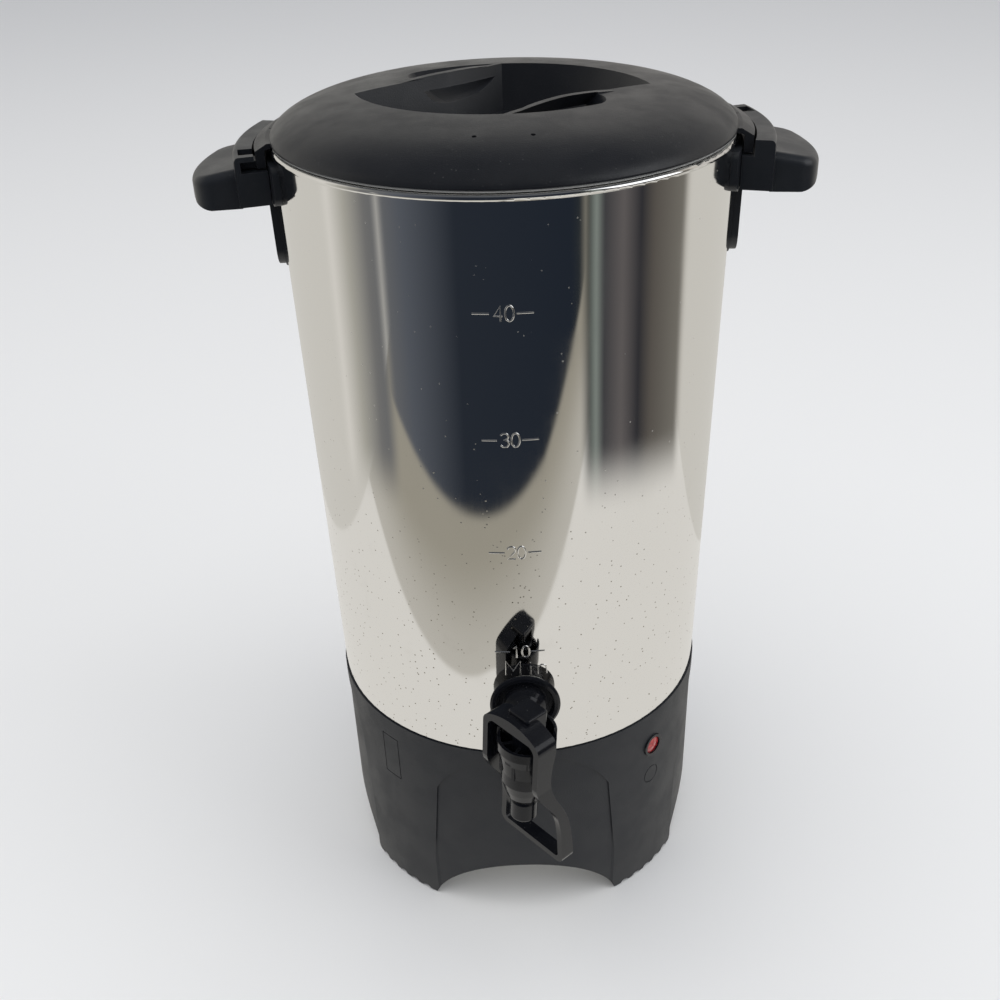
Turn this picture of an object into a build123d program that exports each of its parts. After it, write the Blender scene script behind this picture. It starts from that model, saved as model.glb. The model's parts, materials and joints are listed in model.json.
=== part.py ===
from build123d import *
import os
from math import atan2, cos, degrees, pi, radians, sin, sqrt

# Coffee urn (percolator) for forty cups. Millimetres, +Z up, the tap faces -Y.
# The origin is the centre of the footprint, on the surface the urn stands on.

# driving dimensions: vessel and base
BASE_TOP = 107.7            # top edge of the plastic base
STEEL_R_LOW = 92.5          # steel outside radius at BASE_TOP
STEEL_R_HIGH = 98.9         # steel outside radius just under the rim
RIM_TOP = 379.2             # top of the rolled rim
RIM_ROLL = 1.4              # radius of the rolled rim
STEEL = 0.8                 # sheet thickness
NECK_OUT = 90.3             # necked-in foot of the vessel, inside the base rim
FLOOR_Z = 95.0              # underside of the vessel floor
WELL_R = 32.0               # heating well in the floor
WELL_Z = 86.0
BASE_R_LOW = 92.2           # base outside radius at the floor
BASE_R_HIGH = 93.2
BASE_WALL = 2.6
SKIRT_Z = 0.4               # skirt edge, just clear of the surface
ARCH_TOP = 31.6             # height of the four arches between the feet
ARCH_R = 51.0
PANEL_TOP = 106.0           # arched fields above the arches
PANEL_R = 46.0
PANEL_DEPTH = 0.7
FOOT_RING = 83.5            # pads and posts stand on this radius
FOOT_R = 6.0
PAD_H = 4.0
COVER_Z = 32.2              # underside of the bottom cover
COVER_T = 2.4

# driving dimensions: lid
LID_LOW = 380.6             # underside of the lid edge
LID_EDGE_Z = 381.3
LID_R = 99.4
LID_RISE = 14.8             # crown height over the lid edge
LID_WALL = 3.0
POCKET_FLOOR = 376.2
POCKET_WALL = 2.4
SCOOP_FLOOR = 384.0         # recess on each side of the pocket
RIDGE_TOP = 397.2           # ridge between pocket and recess, just above the crown
EAR_R = 106.0
EAR_TOP = 381.6
EAR_EDGE = 378.9            # the ear slopes down to this height
EAR_T = 2.1
EAR_HALF = 15.0             # half angle of an ear, degrees
LUG_R = 112.4
LUG_FROM = 10.0             # lugs on the lid, degrees from the middle of an ear
LUG_TO = 14.0
LOCK_ANGLE = 18.0

# driving dimensions: handles
HOOD_R = 115.2
HOOD_IN = 107.0
HOOD_TOP = 377.8
SLOT_LOW = 371.1
SLOT_HIGH = 375.7
LUG_LOW = 371.9
LUG_HIGH = 374.9
HANDLE_HALF = 16.5          # half angle of a handle collar, degrees
COLLAR_IN = 101.9
COLLAR_LOW = 357.0
GRIP_REACH = 135.0
GRIP_HALF = 27.0
FINGER_IN = 112.5           # inner end of the hollow under the grip
TONGUE_LOW = 322.0
TONGUE_HALF = 9.0
TONGUE_OUT = 4.8            # tongue and its pad, measured out from the steel
PAD_OUT = 1.6
SCREW_ZS = (364.0, 336.0)
SCREW_R = 2.0

# driving dimensions: tap
TAP_X = 2.2                 # the tap sits a little off the middle
TAP_LEAN = 3.0              # and was tightened leaning by this angle
TAP_Z = 142.0               # shank axis
TAP_Y = -124.0              # barrel axis
SHANK_R = 5.6
THREAD_R = 8.0
TAP_BORE = 4.2
COLLAR_BACK = -94.2
NECK_R = 6.6
CHAMBER_R = 5.4
NECK_TOP = 149.0
CUP_R = 13.2                # open cup round the neck
CUP_FRONT = 145.4           # its rim is lower at the front
CUP_BACK = 150.8
SEAT_Z = 113.0
OUTLET_LOW = 99.5
PIN_Z = 155.2
PIN_R = 1.5
LEVER_YAW = -47.0           # the lever stands turned towards one side
STEM_R = 1.6

# driving dimensions: brewing parts
TUBE_R = 4.2
TUBE_TOP = 366.0
BASKET_Z = 286.0
BASKET_H = 62.0
BASKET_R = 55.0
SHEET = 0.8


def point(radius, angle, z=0.0):
    return (radius * cos(radians(angle)), radius * sin(radians(angle)), z)


def lathe(outline, rounds=()):
    # solid turned about Z from (radius, height) corners; rounds: (corner number, radius)
    section = make_face(Plane.XZ * Polyline(*outline, close=True))
    for number, size in rounds:
        radius, height = outline[number]
        corner = section.vertices().sort_by_distance((radius, 0, height))[0]
        section = fillet(corner, size)
    return revolve(section, Axis.Z)


def tube(outer, inner, low, high):
    return lathe([(inner, low), (outer, low), (outer, high), (inner, high)])


def rod(radius, low, high):
    return Pos(0, 0, (low + high) / 2) * Cylinder(radius, high - low)


def block(x0, x1, y0, y1, z0, z1):
    middle = Pos((x0 + x1) / 2, (y0 + y1) / 2, (z0 + z1) / 2)
    return middle * Box(x1 - x0, y1 - y0, z1 - z0)


def sector(outer, inner, low, high, start, end):
    # part of a ring between two angles
    steps = max(2, int(abs(end - start) / 10) + 1)
    reach = outer * 1.2
    fan = [point(reach, start + (end - start) * i / steps) for i in range(steps + 1)]
    wedge = extrude(Pos(0, 0, low) * make_face(Polyline((0, 0), *fan, close=True)), high - low)
    return tube(outer, inner, low, high) & wedge


def along_y(radius, y0, y1, z, x=0.0):
    turned = Rot(90, 0, 0) * Cylinder(radius, y1 - y0)
    return Pos(x, (y0 + y1) / 2, z) * turned


def along_x(radius, x0, x1, z, y=0.0):
    turned = Rot(0, 90, 0) * Cylinder(radius, x1 - x0)
    return Pos((x0 + x1) / 2, y, z) * turned


def around(shape, angles):
    return [Rot(0, 0, angle) * shape for angle in angles]


def steel_r(z):
    return STEEL_R_LOW + (STEEL_R_HIGH - STEEL_R_LOW) * (z - BASE_TOP) / (RIM_TOP - 4 - BASE_TOP)


def steel_cone(low, high, offset=0.0):
    return lathe([(0, low), (steel_r(low) + offset, low), (steel_r(high) + offset, high), (0, high)])


def base_r(z):
    return BASE_R_LOW + (BASE_R_HIGH - BASE_R_LOW) * z / BASE_TOP


def hexagon(across, length):
    return extrude(RegularPolygon(across / sqrt(3), 6), length)


def group(solids):
    return Compound(children=[solid for item in solids for solid in item.solids()])


# vessel


def make_tank():
    low = FLOOR_Z
    high = RIM_TOP - RIM_ROLL
    step = BASE_TOP + 0.1
    outline = [(0, WELL_Z), (WELL_R, WELL_Z), (WELL_R + 2, low), (NECK_OUT, low), (NECK_OUT, step),
               (steel_r(step + 0.3), step + 0.3), (steel_r(high), high)]
    inside = [(steel_r(high) - STEEL, high), (steel_r(step + 1) - STEEL, step + 1),
              (NECK_OUT - STEEL, step + STEEL), (NECK_OUT - STEEL, low + STEEL), (WELL_R + 2 - STEEL, low + STEEL),
              (WELL_R - STEEL, WELL_Z + STEEL), (0, WELL_Z + STEEL)]
    wall = lathe(outline + inside, rounds=((3, 6.0), (10, 5.2)))
    roll_r = steel_r(high) - 0.2
    roll = revolve(Plane.XZ * Pos(roll_r, high) * Circle(RIM_ROLL), Axis.Z)
    tank = wall + roll
    tank -= along_y(THREAD_R + 0.2, -110, -70, TAP_Z, TAP_X)
    for z in SCREW_ZS:
        tank -= along_x(SCREW_R + 0.3, -110, 110, z)
    return tank


# base


LAMP_ANGLE = -45.0
LAMP_Z = 86.6
LAMP_R = 5.6
BLANK_Z = 67.0
PLATE_ANGLE = -135.0
INLET_Z = 64.0
INLET_W = 30.0
INLET_H = 18.0
BOSS_RING = 78.0
BOSS_R = 4.0
FEET = (45, 135, 225, 315)


def arch_field():
    # arched panel outline, seen from the front, as a bar that points along -Y
    spring = PANEL_TOP - PANEL_R
    side = 42.5
    top = spring + sqrt(PANEL_R ** 2 - side ** 2)
    foot = 48.5
    edge = Polyline((-side, top), (-foot, 0), (foot, 0), (side, top))
    crown = ThreePointArc((side, top), (0, PANEL_TOP), (-side, top))
    face = Plane.XZ * make_face([*edge.edges(), *crown.edges()])
    return Pos(0, -80, 0) * extrude(face, 20)


def skin_cutter(depth):
    # everything outside the base's skin but for a given depth
    ring_r = BASE_R_HIGH + 10
    return lathe([(base_r(0) - depth, 0), (ring_r, 0), (ring_r, BASE_TOP), (base_r(BASE_TOP) - depth, BASE_TOP)])


def make_base_shell():
    low_in = base_r(0) - BASE_WALL
    high_in = BASE_R_HIGH - BASE_WALL
    ledge_in = BOSS_RING - 2
    outline = [(low_in, SKIRT_Z), (base_r(0), SKIRT_Z), (BASE_R_HIGH, BASE_TOP), (high_in, BASE_TOP),
               (high_in, FLOOR_Z), (ledge_in, FLOOR_Z), (ledge_in, FLOOR_Z - 3), (low_in, FLOOR_Z - 3)]
    shell = lathe(outline)
    boss = Pos(*point(BOSS_RING, 22.5)) * rod(BOSS_R, COVER_Z + COVER_T, FLOOR_Z - 1)
    post = Pos(*point(FOOT_RING, 0)) * rod(FOOT_R + 1, PAD_H, COVER_Z - 0.5)
    shell = shell + around(boss, range(0, 360, 90)) + around(post, FEET)
    # the arches between the feet
    for arch in (along_y(ARCH_R, -120, 120, ARCH_TOP - ARCH_R), along_x(ARCH_R, -120, 120, ARCH_TOP - ARCH_R)):
        shell -= arch
    # scalloped edge of each foot
    notch = along_x(3.0, 80, 100, -1.1)
    scallops = [Rot(0, 0, foot + 5.1 * step) * notch for foot in FEET for step in (-2, -1, 0, 1, 2)]
    shell -= scallops
    # arched fields, one on each side
    field = arch_field() & skin_cutter(PANEL_DEPTH)
    shell -= around(field, (0, 90, 180, 270))
    # lamp hole, blank plug outline under it, and the blank plate outline on the other side
    shell -= Rot(0, 0, LAMP_ANGLE) * along_x(LAMP_R, 80, 100, LAMP_Z)
    ring = along_x(LAMP_R - 0.4, 80, 100, BLANK_Z) - along_x(LAMP_R - 0.9, 80, 100, BLANK_Z)
    shell -= Rot(0, 0, LAMP_ANGLE) * ring & skin_cutter(0.4)
    frame = block(80, 100, -5.7, 5.7, 71, 97) - block(80, 100, -5.2, 5.2, 71.5, 96.5)
    shell -= Rot(0, 0, PLATE_ANGLE) * frame & skin_cutter(0.4)
    # opening for the mains inlet at the back, and pilot holes in the bosses
    shell -= block(-INLET_W / 2 + 2, INLET_W / 2 - 2, 80, 100, INLET_Z - INLET_H / 2 + 2, INLET_Z + INLET_H / 2 - 2)
    for side in (-1, 1):
        shell -= along_y(1.3, 80, 100, INLET_Z, side * 20)
    pilot = Pos(*point(BOSS_RING, 22.5)) * rod(1.3, 30, 50)
    shell -= around(pilot, range(0, 360, 90))
    return shell


def make_bottom_cover():
    cover = rod(base_r(COVER_Z) - BASE_WALL - 0.4, COVER_Z, COVER_Z + COVER_T)
    hole = Pos(*point(BOSS_RING, 22.5)) * rod(1.7, 25, 45)
    cover -= around(hole, range(0, 360, 90))
    slot = Pos(0, 0, COVER_Z) * extrude(SlotOverall(34, 3), 3)
    slots = [Rot(0, 0, turn) * Pos(x, 0, -0.3) * Rot(0, 0, 90) * slot for turn in (0, 180) for x in (24, 34, 44)]
    return cover - slots


def make_cover_screws():
    head = rod(3.2, COVER_Z - 2.0, COVER_Z)
    shaft = rod(1.3, COVER_Z, COVER_Z + 13)
    drive = Pos(0, 0, COVER_Z - 2.0) * (Box(3.6, 0.8, 1.6) + Box(0.8, 3.6, 1.6))
    screw = Pos(*point(BOSS_RING, 22.5)) * (head + shaft - drive)
    return group(around(screw, range(0, 360, 90)))


def make_foot_pads():
    pad = lathe([(0, 0), (FOOT_R, 0), (FOOT_R, PAD_H), (0, PAD_H)], rounds=((1, 0.8),))
    return group(around(Pos(*point(FOOT_RING, 0)) * pad, FEET))


def make_lamp_lens():
    skin = base_r(LAMP_Z)
    face = skin + 0.9
    lens = Rot(0, 90, 0) * lathe([(0, skin - 6), (LAMP_R - 0.9, skin - 6), (LAMP_R - 0.9, face - 1.2),
                                  (LAMP_R - 0.9, face - 1.0), (0, face)])
    return Rot(0, 0, LAMP_ANGLE) * Pos(0, 0, LAMP_Z) * lens


def make_lamp_bezel():
    skin = base_r(LAMP_Z)
    bezel = lathe([(LAMP_R - 0.8, skin - 6), (LAMP_R - 0.1, skin - 6), (LAMP_R - 0.1, skin + 0.1),
                   (LAMP_R + 0.7, skin + 0.1), (LAMP_R + 0.5, skin + 0.8), (LAMP_R - 0.8, skin + 0.8)])
    return Rot(0, 0, LAMP_ANGLE) * Pos(0, 0, LAMP_Z) * Rot(0, 90, 0) * bezel


def make_lamp_body():
    skin = base_r(LAMP_Z)
    body = along_x(LAMP_R - 1.2, skin - 22, skin - 6.3, 0)
    tabs = [block(skin - 28, skin - 22, y - 0.4, y + 0.4, -2, 2) for y in (-2.2, 2.2)]
    return Rot(0, 0, LAMP_ANGLE) * Pos(0, 0, LAMP_Z) * (body + tabs)


def make_inlet():
    back = base_r(INLET_Z)
    flange = block(-25, 25, back - 8, back + 1.6, INLET_Z - 12, INLET_Z + 12) - base_skin()
    body = block(-INLET_W / 2 + 2.3, INLET_W / 2 - 2.3, back - 24, back,
                 INLET_Z - INLET_H / 2 + 2.3, INLET_Z + INLET_H / 2 - 2.3)
    recess = block(-10.5, 10.5, back - 20, back + 5, INLET_Z - 4.7, INLET_Z + 4.7)
    inlet = flange + body - recess
    for side in (-1, 1):
        inlet -= along_y(1.6, back - 10, back + 5, INLET_Z, side * 20)
        inlet -= along_y(2.0, back - 30, back - 15, INLET_Z, side * 5.5)
    return inlet


def base_skin():
    # solid up to the skin that the inlet flange sits against
    skin = lathe([(0, 0), (base_r(0), 0), (base_r(BASE_TOP), BASE_TOP), (0, BASE_TOP)])
    field = Rot(0, 0, 180) * arch_field() & skin_cutter(PANEL_DEPTH)
    return skin - field


def make_inlet_pins():
    back = base_r(INLET_Z)
    pin = along_y(2.0, back - 29, back - 6, INLET_Z)
    return group([Pos(x, 0, 0) * pin for x in (-5.5, 5.5)])


def make_inlet_screws():
    back = base_r(INLET_Z)
    screws = []
    for x in (-20, 20):
        head = along_y(2.8, back + 1.6, back + 3.2, INLET_Z, x)
        shaft = along_y(1.3, back - 8, back + 1.6, INLET_Z, x)
        slot = block(x - 2.4, x + 2.4, back + 2.6, back + 4, INLET_Z - 0.4, INLET_Z + 0.4)
        screws.append(head + shaft - slot)
    return group(screws)


# heaters and controls


STUD_R = 2.5
HEATER_T = 7.0


def make_brew_heater():
    disc = lathe([(STUD_R + 0.3, WELL_Z - HEATER_T), (28, WELL_Z - HEATER_T), (30, WELL_Z - 3), (30, WELL_Z),
                  (STUD_R + 0.3, WELL_Z)])
    coil = revolve(Plane.XZ * Pos(20, WELL_Z - HEATER_T) * Circle(3.2), Axis.Z)
    cold_ends = [Pos(20, y, WELL_Z - HEATER_T - 8) * Cylinder(2.4, 12) for y in (-6, 6)]
    return disc + coil + cold_ends


def make_clamp_plate():
    low = WELL_Z - HEATER_T - 1.5
    strap = block(-12, 12, -8, 8, low, low + 1.5)
    return strap - rod(STUD_R + 0.3, low - 1, low + 3)


def make_heater_stud():
    return rod(STUD_R, WELL_Z - HEATER_T - 12, WELL_Z)


def make_heater_nut():
    top = WELL_Z - HEATER_T - 1.5
    return Pos(0, 0, top - 4.5) * hexagon(8, 4.5) - rod(STUD_R, top - 6, top + 1)


def make_keep_warm_heater():
    ring = tube(56, 46, FLOOR_Z - 5, FLOOR_Z)
    gap = block(40, 60, -4, 4, 80, 100)
    ends = [Pos(51, y, FLOOR_Z - 10) * Cylinder(2.2, 12) for y in (-7, 7)]
    return ring - gap + ends


def make_thermostat():
    can = Pos(-66, 0, 0) * (rod(9, FLOOR_Z - 7, FLOOR_Z) + rod(7, FLOOR_Z - 13, FLOOR_Z - 7))
    tabs = [block(-67, -65, y - 0.4, y + 0.4, FLOOR_Z - 21, FLOOR_Z - 13) for y in (-4, 4)]
    return can + tabs


def make_thermal_fuse():
    body = along_y(2.2, -8, 8, FLOOR_Z - 3.0, 66)
    leads = along_y(0.6, -16, 16, FLOOR_Z - 3.0, 66)
    return body + leads


def make_fuse_clip():
    outer = along_y(3.0, -4, 4, FLOOR_Z - 3.0, 66) - along_y(2.25, -5, 5, FLOOR_Z - 3.0, 66)
    foot = block(60, 72, -4, 4, FLOOR_Z - 0.8, FLOOR_Z) - along_y(2.25, -5, 5, FLOOR_Z - 3.0, 66)
    return outer + foot


# lid


def crown(r):
    # height of the lid's outside at a radius
    share = (r / LID_R) ** 4.7
    return LID_EDGE_Z + LID_RISE * (1 - share) ** (2 / 3)


def dome(offset, low, reach=LID_R):
    # solid under the lid's outside, moved up by an offset
    radii = [0, 30, 55, 72, 84, 92, 96.5]
    curve = [(r, crown(r) + offset) for r in radii] + [(reach, LID_EDGE_Z + offset)]
    top = Plane.XZ * Spline(*curve, tangents=((1, 0), (0.25, -1)))
    rest = Plane.XZ * Polyline(curve[-1], (reach, low), (0, low), curve[0])
    return revolve(make_face([*top.edges(), *rest.edges()]), Axis.Z)


def pocket_face(share=1.0):
    # S-shaped finger pocket: a bulged and a straighter edge, then the same half a turn on
    edges = []
    for sign in (share, -share):
        tip, bulge, top, bend, knee, end = [
            (sign * x, sign * y) for x, y in ((64, 0), (39.6, 36.4), (0, 49.5), (-13, 36), (-24, 26), (-64, 0))]
        edges += [*ThreePointArc(tip, bulge, top).edges(), *ThreePointArc(top, bend, knee).edges(),
                  *Line(knee, end).edges()]
    return make_face(edges)


def scoop_face(grow=0.0):
    # plan of the recess beside the pocket
    near = ThreePointArc((3.4, -49.3), (22, -45.75), (40.0, -36.1))
    end = ThreePointArc((40.0, -36.1), (42.3, -28), (38.4, -19.6))
    far = Line((38.4, -19.6), (25.4, -28.0))
    bend = ThreePointArc((25.4, -28.0), (14.8, -37.7), (3.4, -49.3))
    face = make_face([*near.edges(), *end.edges(), *far.edges(), *bend.edges()])
    return offset(face, grow, kind=Kind.ARC) if grow else face


def make_scoop():
    # space inside the recess, a bowl that is deepest by its outer edge
    middle = (29, -36)
    levels = ((SCOOP_FLOOR, 0.42), (SCOOP_FLOOR + 4.5, 0.80), (397.6, 1.02))
    layers = [Pos(*middle, z) * scale(Pos(-middle[0], -middle[1], 0) * scoop_face(), share) for z, share in levels]
    return loft(layers)


def make_ridge():
    # raised wall between pocket and recess, fading out at both ends
    plan = Polyline((4, -48.9), (14.8, -38.6), (25.6, -28.9), (38.4, -20.6), (46, -15.5), (45, -12), (24, -25.2),
                    (12.5, -35.3), (2.5, -47.5), close=True)
    reach = 220.0
    cap = Pos(25, -28.5, RIDGE_TOP - reach) * Sphere(reach)
    return extrude(Pos(0, 0, SCOOP_FLOOR) * make_face(plan), 20) & cap


def make_ear():
    # ear with its end blocks and one bayonet lug
    ear = sector(EAR_R, LID_R - 4, 365, EAR_TOP, -EAR_HALF, EAR_HALF)
    slope = lathe([(90, 360), (EAR_R, 360), (EAR_R, EAR_EDGE), (101, EAR_TOP), (90, EAR_TOP)])
    under = lathe([(0, 360), (EAR_R + 1, 360), (EAR_R + 1, EAR_EDGE - EAR_T - 0.5),
                   (101, EAR_TOP - EAR_T), (0, EAR_TOP - EAR_T)])
    plate = (ear & slope) - under - rod(LID_R, 370, LID_LOW)
    middle = EAR_HALF - 1.25
    ends = [sector(EAR_R, 102.2, LUG_LOW, EAR_TOP, turn - 1.25, turn + 1.25) for turn in (middle, -middle)]
    web = sector(EAR_R, 103.8, LUG_LOW, EAR_TOP, LUG_FROM, LUG_TO)
    drops = (ends[0] + ends[1] + web) & slope
    return plate + drops + sector(LUG_R, 103.8, LUG_LOW, LUG_HIGH, LUG_FROM, LUG_TO)


def make_lid():
    shell = dome(0, LID_LOW) - dome(-LID_WALL, 370, LID_R - LID_WALL)
    skirt = tube(96.1, 93.9, 371.5, LID_LOW + 4)
    turns = (0, 180)
    bowl = extrude(Pos(0, 0, POCKET_FLOOR - POCKET_WALL) * pocket_face(1.05), 40)
    wall = extrude(Pos(0, 0, SCOOP_FLOOR - 2.2) * scoop_face(2.2), 30)
    lid = shell + ((skirt + bowl + around(wall, turns)) & dome(-0.5, 360))
    lid = lid + around(make_ridge(), turns)
    # the pocket, wider at its mouth, and the recesses beside it
    lid -= loft([Pos(0, 0, POCKET_FLOOR) * pocket_face(0.84), Pos(0, 0, 398) * pocket_face()])
    for scoop in around(make_scoop(), turns):
        lid -= scoop
    # steam vents in front of the pocket
    for x in (-11, 11):
        lid -= Pos(x, -73, 390) * Cylinder(1.0, 20)
    dash = block(98.2, 100.6, -0.4, 0.4, EAR_TOP - 0.4, EAR_TOP + 1)
    for turn in turns:
        lid += Rot(0, 0, turn) * make_ear()
        lid -= Rot(0, 0, turn) * dash
    return lid


def make_lid_seal():
    low = RIM_TOP + 0.3
    return lathe([(96.6, low), (98.6, low), (99.1, low + 0.4), (98.6, low + 0.8), (96.6, low + 0.8)])


# handles


def grip_side():
    # side outline of the grip: a top that falls away outwards, and a rounded lower corner
    top = ThreePointArc((104, 372.6), (122, 369.4), (138, 366.0))
    corner = ThreePointArc((136.0, 363.0), (130.8, 357.0), (124.0, 354.6))
    rest = Polyline((124.0, 354.6), (104, 355.4), (104, 372.6))
    end = Line((138, 366.0), (136.0, 363.0))
    return Plane.XZ * make_face([*top.edges(), *end.edges(), *corner.edges(), *rest.edges()])


def grip_plan(shrink=0.0):
    nose_r = 60.0
    half = GRIP_HALF - shrink
    corner = sqrt(nose_r ** 2 - GRIP_HALF ** 2) + GRIP_REACH - nose_r - shrink
    nose = ThreePointArc((corner, -half), (GRIP_REACH - shrink, 0), (corner, half))
    start = 104 if shrink == 0 else FINGER_IN
    sides = Polyline((corner, half), (start, half), (start, -half), (corner, -half))
    plan = make_face([*nose.edges(), *sides.edges()])
    return fillet(plan.vertices().sort_by(Axis.X)[-2:], 9 - shrink)


def make_grip():
    bar = extrude(Pos(0, 0, 340) * grip_plan(), 45) & extrude(grip_side(), 60, both=True)
    rim = bar.edges().filter_by(lambda e: e.center().X > 108 and e.length > 3 and abs(e.tangent_at(0.5).Z) < 0.9)
    top = [edge for edge in rim if edge.center().Z > 364.5]
    return fillet(top, 4.0)


def make_finger_room():
    # the grip is hollow from below
    top = ThreePointArc((104, 368.1), (118, 365.7), (131, 363.0))
    rest = Polyline((131, 363.0), (130.2, 360.8), (125.5, 356.8), (125.5, 330), (104, 330), (104, 368.1))
    side = Plane.XZ * make_face([*top.edges(), *rest.edges()])
    return extrude(Pos(0, 0, 325) * grip_plan(3.4), 50) & extrude(side, 60, both=True)


def make_handle(angle):
    mouth = LUG_TO + 0.4
    stop = LUG_FROM - LOCK_ANGLE - 0.8
    body = sector(HOOD_R, COLLAR_IN, COLLAR_LOW, SLOT_LOW, -HANDLE_HALF, HANDLE_HALF)
    wall = sector(HOOD_R, LUG_R + 0.5, SLOT_LOW - 1, HOOD_TOP, -HANDLE_HALF, HANDLE_HALF)
    roof = sector(HOOD_R, HOOD_IN, SLOT_HIGH, HOOD_TOP, -HANDLE_HALF, HANDLE_HALF)
    closed = sector(HOOD_R, HOOD_IN, SLOT_LOW - 1, HOOD_TOP, -HANDLE_HALF, stop)
    handle = body + wall + roof + closed
    # entry notch for the lug
    handle -= sector(LUG_R + 0.5, HOOD_IN - 1, SLOT_LOW, HOOD_TOP + 1, LUG_FROM - 0.4, mouth)
    ring = handle.edges().filter_by(GeomType.CIRCLE).filter_by(lambda e: e.radius > HOOD_R - 0.1)
    handle = fillet(ring.sort_by(Axis.Z)[-1], 1.9)
    handle += make_grip() - rod(HOOD_R - 1.5, 340, 390)
    handle -= make_finger_room()
    tongue = Pos(90, 0, TONGUE_LOW + 30) * extrude(Plane.YZ * SlotOverall(60, 2 * TONGUE_HALF, rotation=90), 30)
    tongue = tongue & (steel_cone(300, 365, TONGUE_OUT) - steel_cone(300, 365, PAD_OUT + 0.2))
    handle += tongue & block(90, 110, -10, 10, 315, COLLAR_LOW + 0.4)
    for z, depth in zip(SCREW_ZS, (110.0, steel_r(SCREW_ZS[1]) + 3.8)):
        handle -= along_x(SCREW_R, 95, depth, z)
    return Rot(0, 0, angle) * handle


def make_handle_spacer(angle):
    # heat-resisting pad between the steel and the handle
    upper = sector(COLLAR_IN - 0.3, 90, COLLAR_LOW + 0.5, 374.0, -HANDLE_HALF - 4.5, HANDLE_HALF + 4.5)
    corners = upper.edges().filter_by(lambda e: e.length > 1.5 and abs(e.tangent_at(0).Z) < 0.1
                                      and abs(atan2(e.center().Y, e.center().X)) > radians(HANDLE_HALF + 4))
    upper = fillet(corners, 4.0)
    slot = Plane.YZ * SlotOverall(62, 2 * TONGUE_HALF + 2, rotation=90)
    lower = Pos(90, 0, TONGUE_LOW + 30) * extrude(slot, 30) & steel_cone(300, 380, PAD_OUT)
    lower = lower & block(90, 110, -11, 11, 315, COLLAR_LOW + 1)
    pad = upper + lower - steel_cone(300, 376)
    for z in SCREW_ZS:
        pad -= along_x(SCREW_R + 0.3, 90, 110, z)
    return Rot(0, 0, angle) * pad


def make_handle_screws():
    screws = []
    for z, tip in zip(SCREW_ZS, (109.0, steel_r(SCREW_ZS[1]) + 3.4)):
        inside = steel_r(z) - STEEL - 1.2
        outline = [(0, inside - 2.6), (2.6, inside - 2.6), (4.4, inside - 1.2), (4.4, inside), (0, inside)]
        head = Rot(0, 90, 0) * lathe(outline)
        screw = Pos(0, 0, z) * head + along_x(SCREW_R, inside, tip, z)
        screw -= block(inside - 4, inside - 1.4, -3, 3, z - 0.5, z + 0.5)
        screws.extend(around(screw, (0, 180)))
    return group(screws)


def make_handle_washers():
    washers = []
    for z in SCREW_ZS:
        inside = steel_r(z) - STEEL - 1.2
        ring = along_x(5.0, inside, inside + 4, z) - along_x(SCREW_R + 0.1, 80, 110, z)
        ring = ring & steel_cone(300, 376, -STEEL - 0.01)
        washers.extend(around(ring, (0, 180)))
    return group(washers)


# tap


def at_tap(shape):
    # upright tap on the middle plane, moved to where it sits and leans
    return Pos(TAP_X, 0, TAP_Z) * Rot(0, TAP_LEAN, 0) * Pos(0, 0, -TAP_Z) * shape


def at_barrel(shape):
    return at_tap(Pos(0, TAP_Y, 0) * shape)


def at_lever(shape):
    # lever frame: X across the loop, Y towards the urn
    return at_barrel(Rot(0, 0, LEVER_YAW) * shape)


def make_tap_barrel():
    # barrel with its outlet tube and the open cup round the neck, about Z
    barrel = lathe([(0, OUTLET_LOW), (6.3, OUTLET_LOW), (6.3, 109.4), (5.9, 110.6), (8.2, 113.8), (9.6, 118.0),
                    (11.0, 123.0), (11.0, 129.0), (11.8, 136.4), (12.3, 136.8), (CUP_R, 141.0), (CUP_R, CUP_BACK), (11.7, CUP_BACK),
                    (11.7, 141.0), (10.4, 137.0), (9.8, 130.0), (NECK_R, 128.0), (NECK_R, NECK_TOP), (0, NECK_TOP)],
                   rounds=((1, 1.5), (2, 1.0), (11, 0.6), (12, 0.6)))
    low_front = tube(CUP_R + 1, NECK_R + 1, CUP_FRONT, CUP_BACK + 1) & block(-20, 20, -20, 0, 140, 160)
    rib = block(NECK_R - 0.5, 12.0, -0.7, 0.7, 129, CUP_FRONT - 1.5)
    notch = Rot(0, 0, 228) * block(12.2, 14, -1.6, 1.6, 137.0, 138.6)
    mark = block(-0.4, 0.4, -13.2, -12.2, 137.2, 141.5)
    return barrel - low_front + around(rib, range(15, 375, 45)) - notch + mark


def make_tap_body():
    shank = along_y(SHANK_R, TAP_Y + 4, -96, TAP_Z)
    thread = along_y(THREAD_R, COLLAR_BACK, -80, TAP_Z)
    dish = Pos(0, 0, TAP_Z) * Rot(90, 0, 0) * lathe(
        [(0, 94.2), (13.0, 94.2), (16.2, 97.6), (16.2, 98.2), (15.2, 98.9), (13.6, 98.9), (12.8, 97.6), (12.4, 96.9),
         (10.0, 96.9), (9.4, 99.6), (7.6, 101.2), (SHANK_R, 103.5), (0, 103.5)])
    body = Pos(0, TAP_Y, 0) * make_tap_barrel() + shank + thread + dish
    chamber = lathe([(0, OUTLET_LOW - 1), (4.2, OUTLET_LOW - 1), (4.2, SEAT_Z - 1.2), (CHAMBER_R, SEAT_Z),
                     (CHAMBER_R, 160),
                     (0, 160)])
    body -= Pos(0, TAP_Y, 0) * chamber
    body -= along_y(TAP_BORE, TAP_Y, -70, TAP_Z)
    return at_tap(body)


def make_tap_seal_outer():
    ring = along_y(12.6, COLLAR_BACK, -80, TAP_Z, TAP_X) - along_y(THREAD_R + 0.05, -110, -70, TAP_Z, TAP_X)
    return ring - steel_cone(100, 180)


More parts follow.
